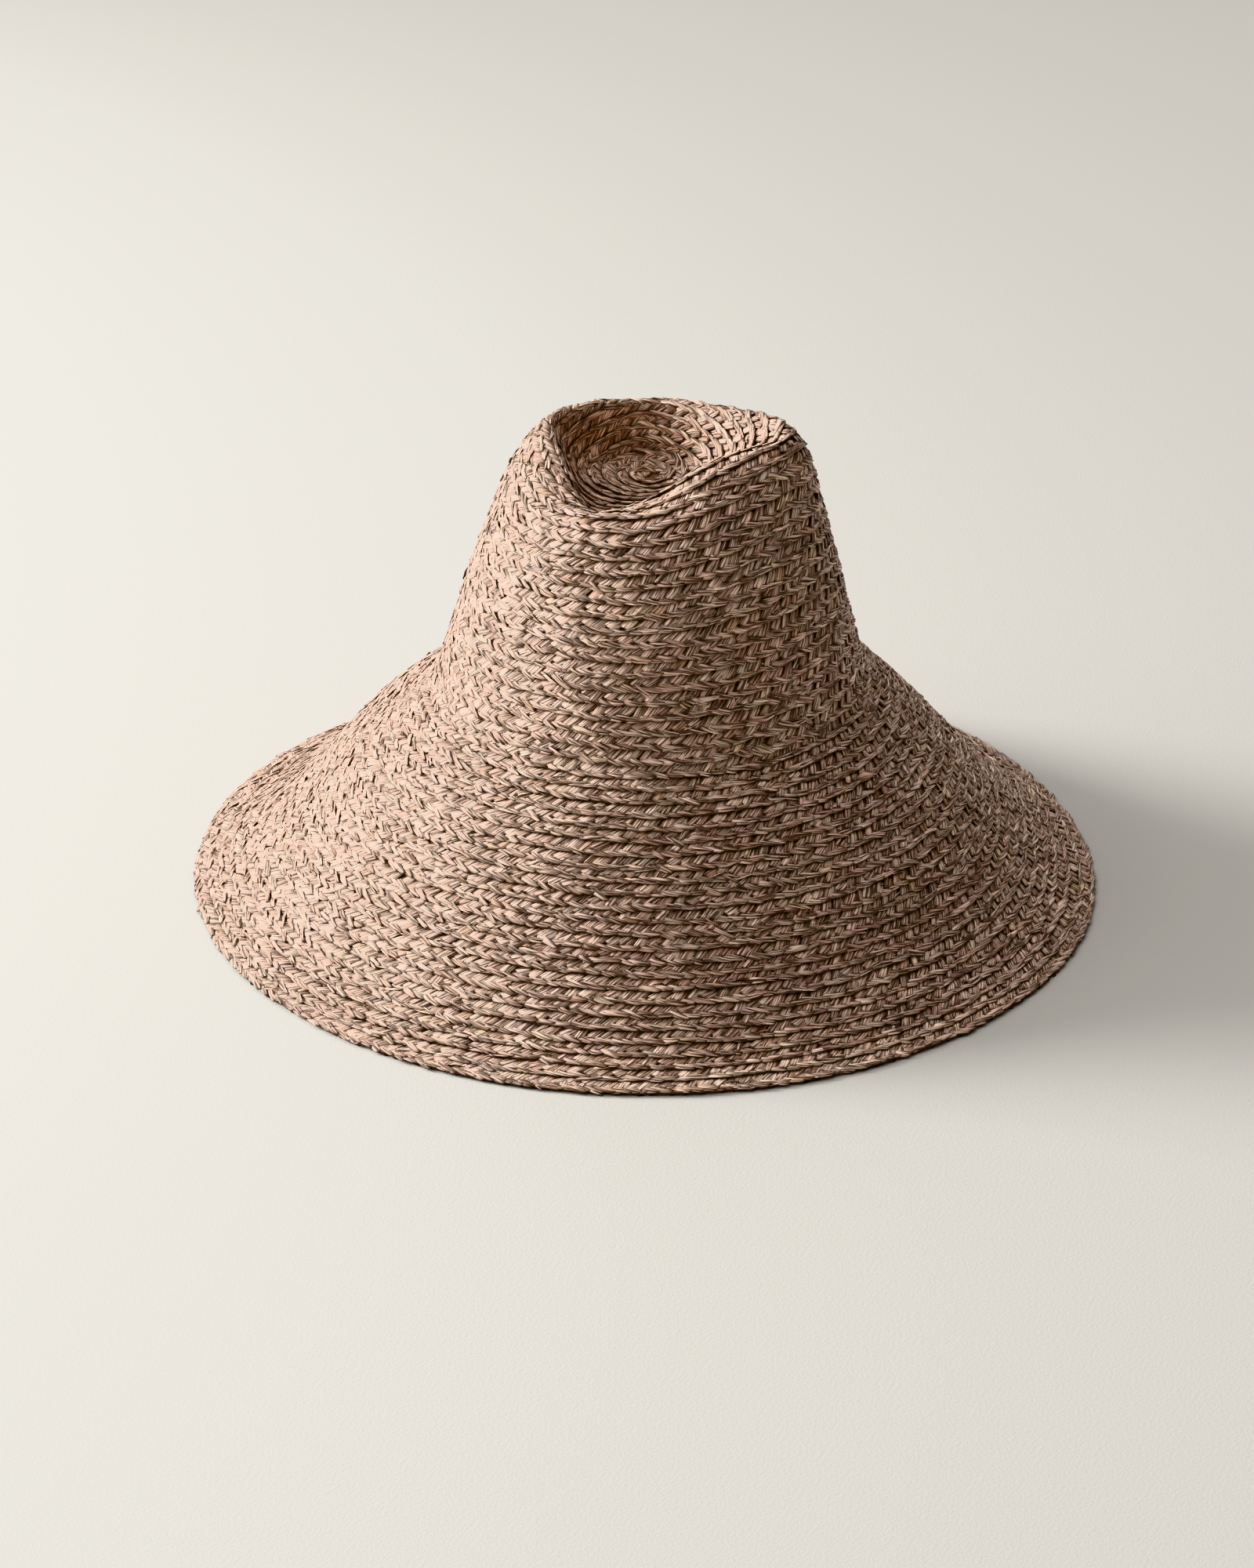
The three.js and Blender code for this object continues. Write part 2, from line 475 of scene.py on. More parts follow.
@dataclass
class Bundle:
    """The ribbons of a run of strands: where each one lies and which strand it is part of.

    side is how far each ribbon lies from its strand's middle, in half widths, and share is its share
    of the strand's width.
    """

    stations: np.ndarray
    strand_index: np.ndarray
    side: np.ndarray
    share: np.ndarray
    strand_count: int

    @classmethod
    def fold(cls, stations: np.ndarray, strand: Strand, rng: np.random.Generator) -> "Bundle":
        """Folds each strand into its ribbons.

        Args:
            stations: the angle turned at each strand.
            strand: gives the shares of strands with one, two and three ribbons.
            rng: the source of their unevenness.

        Returns:
            The ribbons.
        """
        counts = rng.choice(len(strand.ribbons), size=len(stations), p=strand.ribbons) + 1
        index = np.repeat(np.arange(len(stations)), counts)
        first = np.repeat(np.cumsum(counts) - counts, counts)
        order = np.arange(len(index)) - first
        each = counts[index]
        side = (order - (each - 1) / 2) / each * 2
        return cls(stations[index], index, side[:, None], 1 / each[:, None], len(stations))


@dataclass(frozen=True)
class Spreads:
    """How unlike each other strands are, and the ribbons of one strand, as standard deviations.

    Leans are in degrees, and the rest are in millimetres but for those of the length, width and
    thickness and for ribbon_aside, which are shares.
    """

    strand_lean: float = 7.0
    strand_length: float = 0.09
    strand_width: float = 0.12
    strand_along: float = 0.25
    strand_down: float = 0.18
    strand_roll: float = 0.15
    strand_tilt: float = 0.12
    strand_out: float = 0.1
    ribbon_lean: float = 4.0
    ribbon_length: float = 0.07
    ribbon_thickness: float = 0.1
    ribbon_aside: float = 0.07
    ribbon_along: float = 0.22
    ribbon_roll: float = 0.1
    ribbon_out: float = 0.09


@dataclass
class Strands:
    """Strands laid along the plait, joined into pieces that stay small enough.

    Each row lies on the one below it like shingles: it stands shingle_low out of the face at its upper
    edge and shingle_rise more at its lower one. Strands that are plaited_strands apart are one leaf for
    leaf_strands of its turns, and a leaf gives leaf_share of their tint. The folded ribbons of a strand
    overlap, thin down to folded_thickness, close in at their ends by end_pinch and drop by edge_drop
    at the strand's sides.
    """

    form: Form
    plait: Plait
    face: Face
    spreads: Spreads = Spreads()
    wall_mm: float = 2.2
    row_mm: float = 6.1
    shingle_low: float = -1.2
    shingle_rise: float = 1.5
    shingle_limits: tuple[float, float] = (-0.25, 1.05)
    least_stretch: float = 0.4
    width_limits: tuple[float, float] = (0.6, 1.5)
    folded_thickness: float = 0.55
    end_pinch: float = 0.2
    ribbon_overlap: float = 1.1
    edge_drop: float = 0.12
    least_radius_mm: float = 2.5
    plaited_strands: int = 5
    leaf_strands: int = 7
    leaf_share: float = 0.6
    fibre_room_mm: float = 400.0
    top_cell: tuple[float, float] = (0.04, 0.64)
    under_cell: tuple[float, float] = (0.70, 0.96)
    length_cell: tuple[float, float] = (0.05, 0.95)

    def lay(self, name: str, stations: np.ndarray, strand: Strand, seed: int) -> bpy.types.Object:
        """Lays one strand at each station and joins them into one piece.

        Args:
            name: the piece's name.
            stations: the angle turned at each strand.
            strand: the strand's shape and its place in the row.
            seed: the seed of its unevenness.

        Returns:
            The piece, in metres.
        """
        mould = Mould.of(strand.template())
        corners = mould.corners
        rng = np.random.default_rng(seed)
        bundle = Bundle.fold(stations, strand, rng)
        places, local = self._shape(corners, bundle, strand, rng)
        points = self._on_face(places, bundle.stations)
        if self.face is Face.INSIDE:
            mould.turn_over()
        piece = joined_piece(name, points * MM, mould)
        self._paint(piece, mould, local, bundle, rng)
        return piece

    def _shape(self, corners: np.ndarray, bundle: Bundle, strand: Strand,
               rng: np.random.Generator) -> tuple[np.ndarray, np.ndarray]:
        """Works out the places of each ribbon's points in its row.

        Args:
            corners: the points of the straight ribbon.
            bundle: the ribbons.
            strand: the strand's shape and its place in the row.
            rng: the source of their unevenness.

        Returns:
            The places along the row in millimetres, down in rows and out in millimetres, and the places
            along and across the ribbon itself.
        """

        def by_strand(spread: float) -> np.ndarray:
            """Draws a number for each strand and gives it to all its ribbons."""
            values = rng.normal(0, spread * strand.unevenness, (bundle.strand_count, 1))
            return values[bundle.strand_index]

        def by_ribbon(spread: float) -> np.ndarray:
            """Draws a number for each ribbon."""
            return rng.normal(0, spread * strand.unevenness, (len(bundle.stations), 1))

        spreads = self.spreads
        x, y, z = corners.T[:, None, :]
        lean = np.radians(strand.lean + by_strand(spreads.strand_lean) + by_ribbon(spreads.ribbon_lean))
        stretch = 1 + by_strand(spreads.strand_length) + by_ribbon(spreads.ribbon_length)
        half_length = strand.length / 2 * np.maximum(stretch, self.least_stretch)
        half_width = strand.width / 2 * np.clip(1 + by_strand(spreads.strand_width), *self.width_limits)
        folded = self.folded_thickness + (1 - self.folded_thickness) * bundle.share
        half_thick = strand.thickness / 2 * folded * (1 + by_ribbon(spreads.ribbon_thickness))
        aside = (bundle.side + by_ribbon(spreads.ribbon_aside)) * (1 - self.end_pinch * x**2)
        across = half_width * (aside + y * bundle.share * self.ribbon_overlap) * (1 - strand.taper * x)
        along = x * half_length + strand.shear * across + by_ribbon(spreads.ribbon_along)
        bow = strand.bow * (1 - x**2)
        along_row = along * np.cos(lean) + across * np.sin(lean) + by_strand(spreads.strand_along)
        down_row = across * np.cos(lean) - along * np.sin(lean) - bow + by_strand(spreads.strand_down)
        down = strand.place + down_row / self.row_mm
        shingle = self.shingle_low + self.shingle_rise * np.clip(down, *self.shingle_limits)
        up_side = -across / half_width
        roll = (strand.roll + by_strand(spreads.strand_roll) + by_ribbon(spreads.ribbon_roll)) * up_side
        rounded = -self.edge_drop * up_side**2 - strand.dive * x**4
        tilt = (strand.tilt + by_strand(spreads.strand_tilt)) * x
        uneven = by_strand(spreads.strand_out) + by_ribbon(spreads.ribbon_out)
        out = shingle + strand.lift + tilt + roll + rounded + uneven + z * half_thick
        places = np.stack(np.broadcast_arrays(along_row, down, out), axis=-1)
        local = np.stack(np.broadcast_arrays(along, across), axis=-1)
        return places, local

    def _on_face(self, places: np.ndarray, stations: np.ndarray) -> np.ndarray:
        """Moves points from their place in the row onto the hat's face.

        Args:
            places: places along the row, down in rows and out.
            stations: the angle turned at each ribbon.

        Returns:
            Points in millimetres.
        """
        along_row, down, out = np.moveaxis(places, -1, 0)
        middle = np.clip(self.plait.upper_edge(stations) + 0.5, 0, self.form.rows)
        radius = np.maximum(self.form.turn_radius(middle, stations), self.least_radius_mm)
        travel = stations[:, None] + along_row / radius[:, None]
        last = self.form.rows - 1
        row = np.minimum(self.plait.upper_edge(travel), last) + down
        if self.face is Face.INSIDE:
            out = -self.wall_mm - out
        return self.form.place(row, travel, out)

    def _paint(self, piece: bpy.types.Object, mould: "Mould", local: np.ndarray, bundle: Bundle,
               rng: np.random.Generator) -> None:
        """Gives the ribbons their tints, their fibre map and a bake map of one cell for each.

        Args:
            piece: the joined ribbons.
            mould: the straight ribbon.
            local: places along and across each ribbon.
            bundle: the ribbons.
            rng: the source of their unevenness.
        """
        mesh = piece.data
        count = len(bundle.stations)
        order = np.arange(bundle.strand_count)
        leaf = order % self.plaited_strands, order // (self.plaited_strands * self.leaf_strands)
        leaf_tint = rng.random((self.plaited_strands, leaf[1].max() + 1))[leaf]
        tint = self.leaf_share * leaf_tint + (1 - self.leaf_share) * rng.random(len(order))
        shade = rng.random(count)
        every_point = (count, len(mould.corners))
        add_attribute(mesh, "tint", np.broadcast_to(tint[bundle.strand_index, None], every_point))
        add_attribute(mesh, "shade", np.broadcast_to(shade[:, None], every_point))
        # spot is each point's place on the straight ribbon, which the finish reads to paint shade at its
        # ends, sides and underside
        add_attribute(mesh, "spot", np.broadcast_to(mould.corners, (*every_point, 3)))
        offset = rng.uniform(0, self.fibre_room_mm, (count, 1, 2))
        add_map(mesh, BAKE_MAP, self._cells(mould, count))
        add_map(mesh, STRAND_MAP, (local + offset)[:, mould.faces.ravel()])

    def _cells(self, mould: "Mould", count: int) -> np.ndarray:
        """Gives each ribbon a cell of one square map, with its top beside its underside.

        Args:
            mould: the straight ribbon.
            count: the number of ribbons.

        Returns:
            Places on the map, indexed by ribbon and face corner.
        """
        side = math.ceil(math.sqrt(count))
        index = np.arange(count)
        cells = np.stack([index % side, index // side], axis=-1)[:, None, :] / side
        on_top = np.repeat(mould.corners[mould.faces].mean(axis=1)[:, 2] >= 0, 3)
        lengthwise, across, _ = mould.corners[mould.faces.ravel()].T
        top = np.interp(across, (-1, 1), self.top_cell)
        underside = np.interp(across, (-1, 1), self.under_cell)
        v = np.interp(lengthwise, (-1, 1), self.length_cell)
        return cells + np.stack([np.where(on_top, top, underside), v], axis=-1)[None] / side


@dataclass
class Mould:
    """A small triangle mesh as arrays, to be copied many times into one piece."""

    corners: np.ndarray
    faces: np.ndarray
    face_edges: np.ndarray
    edges: np.ndarray
    sharp: np.ndarray

    @classmethod
    def of(cls, mesh: bmesh.types.BMesh) -> "Mould":
        """Reads a triangle mesh and frees it.

        Args:
            mesh: the mesh to copy.

        Returns:
            Its arrays.
        """
        mesh.verts.index_update()
        mesh.edges.index_update()
        mould = cls(
            np.array([vertex.co[:] for vertex in mesh.verts]),
            np.array([[loop.vert.index for loop in face.loops] for face in mesh.faces]),
            np.array([[loop.edge.index for loop in face.loops] for face in mesh.faces]),
            np.array([[vertex.index for vertex in edge.verts] for edge in mesh.edges]),
            np.array([not edge.smooth for edge in mesh.edges]))
        mesh.free()
        return mould

    def turn_over(self) -> None:
        """Makes every face point the other way, for copies that are laid as a mirror image."""
        self.faces = self.faces[:, ::-1]
        self.face_edges = self.face_edges[:, [1, 0, 2]]


def add_map(mesh: bpy.types.Mesh, name: str, places: np.ndarray) -> None:
    """Adds a UV map to a mesh.

    Args:
        mesh: the mesh.
        name: the map's name.
        places: two numbers for each face corner.
    """
    layer = mesh.uv_layers.new(name=name, do_init=False)
    layer.uv.foreach_set("vector", np.ascontiguousarray(places, np.float32).ravel())


def add_attribute(mesh: bpy.types.Mesh, name: str, values: np.ndarray) -> None:
    """Adds a number or a vector to each point of a mesh of joined copies.

    Args:
        mesh: the mesh.
        name: the attribute's name.
        values: the numbers, indexed by copy and point, or the vectors, indexed by axis too.
    """
    kind, label = ("FLOAT", "value") if values.ndim == 2 else ("FLOAT_VECTOR", "vector")
    layer = mesh.attributes.new(name, kind, "POINT")
    layer.data.foreach_set(label, values.astype(np.float32).ravel())


def joined_piece(name: str, points: np.ndarray, mould: Mould) -> bpy.types.Object:
    """Joins copies of one small triangle mesh into one object.

    Args:
        name: the object's name.
        points: the copies' points in metres, indexed by copy and point.
        mould: the mesh that is copied.

    Returns:
        The object, smooth along each copy and sharp at its sides.
    """
    count, every, _ = points.shape
    copies = np.arange(count)[:, None, None]
    corners = (mould.faces[None] + copies * every).ravel()
    corner_edges = (mould.face_edges[None] + copies * len(mould.edges)).ravel()
    edges = (mould.edges[None] + copies * every).ravel()
    mesh = bpy.data.meshes.new(name)
    mesh.vertices.add(count * every)
    mesh.vertices.foreach_set("co", points.astype(np.float32).ravel())
    mesh.edges.add(len(edges) // 2)
    mesh.edges.foreach_set("vertices", edges.astype(np.int32))
    mesh.loops.add(len(corners))
    mesh.loops.foreach_set("vertex_index", corners.astype(np.int32))
    mesh.loops.foreach_set("edge_index", corner_edges.astype(np.int32))
    mesh.polygons.add(len(corners) // 3)
    mesh.polygons.foreach_set("loop_start", np.arange(0, len(corners), 3, dtype=np.int32))
    mesh.polygons.foreach_set("use_smooth", np.ones(len(corners) // 3, bool))
    sharp = mesh.attributes.new("sharp_edge", "BOOLEAN", "EDGE")
    sharp.data.foreach_set("value", np.tile(mould.sharp, count))
    mesh.update()
    piece = bpy.data.objects.new(name, mesh)
    bpy.context.scene.collection.objects.link(piece)
    return piece


class Value:
    """A shader number that Python's operators work on, adding Math nodes as they go."""

    def __init__(self, graph: "Graph", socket: bpy.types.NodeSocket) -> None:
        """Keeps the graph and the socket that holds the number."""
        self.graph = graph
        self.socket = socket

    def _maths(self, operation: str, *terms: "Value | float") -> "Value":
        """Returns the result of one Math node."""
        inputs = dict(enumerate(terms))
        return self.graph.node("ShaderNodeMath", {"operation": operation}, inputs)

    def __add__(self, other: "Value | float") -> "Value":
        """Returns the sum."""
        return self._maths("ADD", self, other)

    __radd__ = __add__

    def __sub__(self, other: "Value | float") -> "Value":
        """Returns the difference."""
        return self._maths("SUBTRACT", self, other)

    def __rsub__(self, other: float) -> "Value":
        """Returns the difference the other way round."""
        return self._maths("SUBTRACT", other, self)

    def __mul__(self, other: "Value | float") -> "Value":
        """Returns the product."""
        return self._maths("MULTIPLY", self, other)

    __rmul__ = __mul__

    def __pow__(self, other: float) -> "Value":
        """Returns the power."""
        return self._maths("POWER", self, other)

    def at_least(self, low: float) -> "Value":
        """Returns the number, or low where it is less."""
        return self._maths("MAXIMUM", self, low)

    def between(self, low: float, high: float) -> "Value":
        """Returns 0 below low, 1 above high and a smooth step between."""
        settings = {"interpolation_type": "SMOOTHSTEP"}
        return self.graph.node("ShaderNodeMapRange", settings, {"Value": self, 1: low, 2: high})

    def ranged(self, start: float, end: float) -> "Value":
        """Returns start where the number is 0, end where it is 1 and a straight line between."""
        return start + (end - start) * self


class Graph:
    """The node tree of a material or of the world, built by one method that adds any node."""

    def __init__(self, owner: bpy.types.Material | bpy.types.World) -> None:
        """Empties the owner's node tree.

        Args:
            owner: the material or the world to build.
        """
        owner.use_nodes = True
        self.owner = owner
        self.tree = owner.node_tree
        self.tree.nodes.clear()

    def node(self, kind: str, settings: dict | None = None, inputs: dict | None = None,
             output: int | str = 0) -> Value:
        """Adds a node.

        Args:
            kind: the node's type.
            settings: its properties, and the stops of a colour ramp under "stops".
            inputs: values or links for its sockets, by name or number.
            output: the socket to return.

        Returns:
            The output wanted.
        """
        added = self.tree.nodes.new(kind)
        for label, setting in (settings or {}).items():
            if label == "stops":
                self._set_stops(added.color_ramp, setting)
            else:
                setattr(added, label, setting)
        for label, given in (inputs or {}).items():
            if isinstance(given, Value):
                self.tree.links.new(given.socket, added.inputs[label])
            else:
                added.inputs[label].default_value = given
        return Value(self, added.outputs[output])

    @staticmethod
    def _set_stops(ramp: bpy.types.ColorRamp, stops: list[tuple[float, tuple]]) -> None:
        """Sets a colour ramp's stops.

        Args:
            ramp: the colour ramp.
            stops: the stops' positions and colours.
        """
        while len(ramp.elements) < len(stops):
            ramp.elements.new(1)
        for element, (position, colour) in zip(ramp.elements, stops):
            element.position = position
            element.color = (*colour, 1)

    def mix(self, factor: Value | float, first: Value | tuple, second: Value | tuple,
            blend: str = "MIX") -> Value:
        """Mixes two colours.

        Args:
            factor: the share of the second.
            first: the first colour.
            second: the second colour.
            blend: how they are mixed.

        Returns:
            The mixed colour.
        """
        first = first if isinstance(first, Value) else (*first, 1)
        second = second if isinstance(second, Value) else (*second, 1)
        settings = {"data_type": "RGBA", "blend_type": blend}
        return self.node("ShaderNodeMix", settings, {0: factor, 6: first, 7: second}, output=2)

    def scaled(self, vector: Value, scale: tuple[float, float, float]) -> Value:
        """Scales a vector's parts and returns the result."""
        return self.node("ShaderNodeMapping", {}, {"Vector": vector, "Scale": scale})

    def noise(self, place: Value, scale: float = 1.0, detail: float = 1.0,
              roughness: float = 0.5) -> Value:
        """Adds soft noise.

        Args:
            place: where the noise is read.
            scale: its fineness.
            detail: the number of its finer layers.
            roughness: the strength of the finer layers.

        Returns:
            The noise, from 0 to 1.
        """
        return self.node("ShaderNodeTexNoise", {}, {
            "Vector": place, "Scale": scale, "Detail": detail, "Roughness": roughness})

    def grain(self, place: Value, scale: float) -> Value:
        """Adds noise with fine grain in it, and returns it."""
        return self.noise(place, scale, detail=3.0, roughness=0.6)

    def bump(self, height: Value, distance_mm: float, strength: float = 1.0) -> Value:
        """Adds a bump.

        Args:
            height: the height, as a share of the distance.
            distance_mm: the bump's full height.
            strength: how much of it shows.

        Returns:
            The bumped normal.
        """
        return self.node("ShaderNodeBump", {}, {
            "Strength": strength, "Distance": distance_mm * MM, "Height": height})

    def surface(self, colour: Value, roughness: Value | float, normal: Value,
                settings: dict[str, float | tuple]) -> bpy.types.Material:
        """Ends the material in one shader.

        Args:
            colour: the base colour.
            roughness: the roughness.
            normal: the bumped normal.
            settings: constant values of other sockets.

        Returns:
            The material.
        """
        inputs = {"Base Color": colour, "Roughness": roughness, "Normal": normal, **settings}
        shader = self.node("ShaderNodeBsdfPrincipled", {}, inputs)
        self.end("ShaderNodeOutputMaterial", shader)
        return self.owner

    def end(self, kind: str, shader: Value) -> None:
        """Joins a shader to the output of the material or world."""
        last = self.tree.nodes.new(kind)
        self.tree.links.new(shader.socket, last.inputs["Surface"])


@dataclass(frozen=True)
class Raffia:
    """Natural raffia: colours in linear light, sizes in millimetres on the strand.

    A range holds the share of the colour that the least and the most of something leaves, and a span
    the stretch over which it changes: along or across a strand, where 1 is its end or its side, or of a
    noise. The darkening at a strand's ends, sides and underside is painted shade where neighbours cover
    it, and the groove colour is painted shade in the slits between fibres and on the wall in the gaps.
    """

    name: str = "raffia"
    rosy: tuple = (0.665, 0.437, 0.35)
    straw: tuple = (0.79, 0.565, 0.42)
    brown: tuple = (0.50, 0.32, 0.225)
    pale: tuple = (0.80, 0.585, 0.475)
    # painted shade: the dark colour of the slits between fibres and of the wall in the gaps between
    # strands
    groove_shade: tuple = (0.14, 0.085, 0.06)
    tint_stops: tuple = (0.0, 0.3, 0.68, 0.9)
    fibre_width: float = 0.8
    fibre_length: float = 10.0
    fibre_span: tuple = (0.37, 0.58)
    fibre_range: tuple = (0.42, 1.34)
    hair_width: float = 0.45
    hair_length: float = 12.0
    hair_span: tuple = (0.40, 0.57)
    hair_range: tuple = (0.52, 1.40)
    slit_span: tuple = (0.36, 0.43)
    slit_depth: float = 0.8
    blotch_scale: float = 0.35
    blotch_range: tuple = (0.86, 1.14)
    shade_range: tuple = (0.76, 1.26)
    # painted shade: where a strand's ends, sides and underside are darkened, as spans and ranges
    end_span: tuple = (0.42, 1.0)
    end_painted_shade: tuple = (1.0, 0.25)
    lower_side_span: tuple = (0.4, 1.0)
    lower_side_painted_shade: tuple = (1.0, 0.3)
    upper_side_span: tuple = (0.5, 1.0)
    upper_side_painted_shade: tuple = (1.0, 0.55)
    underside_span: tuple = (-0.3, 0.6)
    underside_painted_shade: tuple = (0.3, 1.0)
    bump_mm: float = 1.4
    fibre_height: float = 0.6
    hair_height: float = 0.4
    dome: float = 0.25
    roughness: float = 0.45
    roughness_spread: float = 0.2
    shine: float = 0.42
    shine_colour: tuple = (1.0, 0.91, 0.83)
    wall_grain: float = 900.0
    wall_grain_span: tuple = (0.35, 0.7)
    wall_bump: float = 0.8
    wall_roughness: float = 0.85
    wall_shine: float = 0.2

    def strands(self) -> bpy.types.Material:
        """Makes the finish of the strands, which follows each strand's own map and tints.

        Each strand's ends, sides and underside and the slits between its fibres get painted shade.
        """
        graph = Graph(bpy.data.materials.new(f"{self.name}_strands"))
        tint, shade = (graph.node("ShaderNodeAttribute", {"attribute_name": name}, output="Fac")
                       for name in ("tint", "shade"))
        place = graph.node("ShaderNodeUVMap", {"uv_map": STRAND_MAP})
        fibre = graph.noise(graph.scaled(place, (1 / self.fibre_length, 1 / self.fibre_width, 1)))
        hair = graph.noise(graph.scaled(place, (1 / self.hair_length, 1 / self.hair_width, 1)))
        blotch = graph.noise(place, self.blotch_scale)
        spot = graph.node("ShaderNodeAttribute", {"attribute_name": "spot"}, output="Vector")
        lengthwise, across, up = (graph.node("ShaderNodeSeparateXYZ", {}, {0: spot}, output=axis)
                                  for axis in "XYZ")
        # painted shade at each strand's ends, sides and underside, times a random tone for each ribbon
        light = self._painted_shade(lengthwise, across, up) * shade.ranged(*self.shade_range)
        light = light * fibre.between(*self.fibre_span).ranged(*self.fibre_range)
        light = light * hair.between(*self.hair_span).ranged(*self.hair_range)
        light = light * blotch.ranged(*self.blotch_range)
        grey = graph.node("ShaderNodeCombineColor", {}, {0: light, 1: light, 2: light})
        stops = list(zip(self.tint_stops, (self.brown, self.rosy, self.pale, self.straw)))
        colour = graph.node("ShaderNodeValToRGB", {"stops": stops}, {"Fac": tint})
        colour = graph.mix(1.0, colour, grey, "MULTIPLY")
        # painted shade: the slits between fibres are mixed towards the dark groove colour
        slit = fibre.between(*self.slit_span).ranged(self.slit_depth, 0.0)
        colour = graph.mix(slit, colour, self.groove_shade)
        height = self.fibre_height * fibre + self.hair_height * hair + self.dome * (1 - across * across)
        rough = self.roughness + self.roughness_spread * (1 - fibre)
        return graph.surface(colour, rough, graph.bump(height, self.bump_mm), {
            "Specular IOR Level": self.shine, "Specular Tint": (*self.shine_colour, 1)})

    def _painted_shade(self, lengthwise: Value, across: Value, up: Value) -> Value:
        """Works out the painted shade that darkens a strand's ends, sides and underside, where others
        cover it.

        Args:
            lengthwise: the place along the strand, from -1 to 1.
            across: the place across it, where 1 is its lower side.
            up: the place through it, where 1 is its top.

        Returns:
            The share of the colour that the painted shade leaves.
        """
        ends = (lengthwise * lengthwise).between(*self.end_span).ranged(*self.end_painted_shade)
        lower = across.between(*self.lower_side_span).ranged(*self.lower_side_painted_shade)
        upper = (0 - across).between(*self.upper_side_span).ranged(*self.upper_side_painted_shade)
        underside = up.between(*self.underside_span).ranged(*self.underside_painted_shade)
        return ends * lower * upper * underside

    def wall(self) -> bpy.types.Material:
        """Makes the wall's finish, painted shade for the gaps between strands: brown mottled with the
        groove colour.
        """
        graph = Graph(bpy.data.materials.new(f"{self.name}_wall"))
        place = graph.node("ShaderNodeTexCoord", {}, output="Object")
        grain = graph.grain(place, self.wall_grain)
        # painted shade: the wall in the gaps is mottled between the dark groove colour and the raffia's
        # brown
        colour = graph.mix(grain.between(*self.wall_grain_span), self.groove_shade, self.brown)
        bump = graph.bump(grain, self.bump_mm, self.wall_bump)
        return graph.surface(colour, self.wall_roughness, bump, {"Specular IOR Level": self.wall_shine})


@dataclass
class Wall:
    """The wall under the strands: a closed shell whose outer face steps down row by row.

    Each step is a share of the way down the row and a height over the face in millimetres. The last
    column is turned round by turn_limit of a full turn, so that it still counts as the same row.
    """

    form: Form
    plait: Plait
    thickness_mm: float = 2.0
    steps: tuple = ((0.03, -1.5), (0.45, -0.95), (0.97, -0.6))
    turn_limit: float = 0.999999
    merge_mm: float = 0.02

    def build(self, name: str, first_row: float, last_row: float, columns: int) -> bpy.types.Object:
        """Builds the wall between two rows.

        Args:
            name: the piece's name.
            first_row: where it starts, in rows from the middle of the tip.
            last_row: where it ends.
            columns: the number of faces round the hat.

        Returns:
            The wall, a closed shell in metres.
        """
        lines = self._lines(first_row, last_row)
        mesh = bmesh.new()
        bmesh.ops.create_grid(mesh, x_segments=columns, y_segments=len(lines) - 1, size=1,
                              calc_uvs=True)
        flat = np.array([vertex.co[:] for vertex in mesh.verts])
        column = (flat[:, 0] * 0.5 + 0.5) * FULL_TURN
        line = np.round((flat[:, 1] * 0.5 + 0.5) * (len(lines) - 1)).astype(int)
        turn, share, height = lines[line].T
        row = self.plait.upper_edge(turn * FULL_TURN + column * self.turn_limit) + share
        row = np.clip(row, first_row, last_row)
        points = self.form.place(row, column, height) * MM
        for vertex, point in zip(mesh.verts, points):
            vertex.co = point
        bmesh.ops.remove_doubles(mesh, verts=mesh.verts, dist=self.merge_mm * MM)
        bmesh.ops.dissolve_degenerate(mesh, edges=mesh.edges, dist=self.merge_mm * MM)
        bmesh.ops.recalc_face_normals(mesh, faces=mesh.faces)
        return piece_from(name, mesh)

    def _lines(self, first_row: float, last_row: float) -> np.ndarray:
        """Lists the wall's lines round the hat, out along its outer face and back along its inner.

        Args:
            first_row: where the wall starts, in rows from the middle of the tip.
            last_row: where it ends.

        Returns:
            The turn, the share of the way down the row and the height of each line.
        """
        turns = np.arange(math.floor(first_row) - 2, math.ceil(last_row) + 1)
        outside = [(turn, share, height) for turn in turns for share, height in self.steps]
        inside = [(turn, 0.5, -self.thickness_mm) for turn in turns[::-1]]
        closing = [outside[0]] if first_row > 0 else []
        return np.array(outside + inside + closing)


def piece_from(name: str, mesh: bmesh.types.BMesh) -> bpy.types.Object:
    """Turns a finished bmesh into a smooth object and frees it.

    Args:
        name: the object's name.
        mesh: the finished mesh, in metres.

    Returns:
        The object.
    """
    data = bpy.data.meshes.new(name)
    mesh.to_mesh(data)
    mesh.free()
    data.polygons.foreach_set("use_smooth", np.ones(len(data.polygons), bool))
    if data.uv_layers:
        data.uv_layers[0].name = BAKE_MAP
    piece = bpy.data.objects.new(name, data)
    bpy.context.scene.collection.objects.link(piece)
    return piece


UPPER = Strand(length=7.6, width=5.3, thickness=0.8, lean=43, place=0.30, lift=0.5, roll=0.42,
               dive=0.4, shear=0.4, ribbons=(0.78, 0.18, 0.04))
LOWER = Strand(length=11.0, width=2.7, thickness=0.9, lean=-13, place=0.80, bow=-0.3, lift=0.4,
               tilt=0.24, roll=0.3, dive=0.45, shear=-1.0, taper=0.4, ribbons=(0.5, 0.38, 0.12))
HAIR = Strand(length=6.5, width=0.42, thickness=0.36, lean=5, place=0.55, bow=0.5, lift=0.95,
              dive=0.7, ribbons=(1.0,), ring_points=4, unevenness=2.0)
INNER_UPPER = Strand(length=8.0, width=4.2, thickness=1.0, lean=30, place=0.25, lift=0.8,
                     ribbons=(1.0,), ring_points=4, rings=3)
INNER_LOWER = Strand(length=8.0, width=4.2, thickness=1.0, lean=-30, place=0.72, lift=0.8,
                     ribbons=(1.0,), ring_points=4, rings=3)


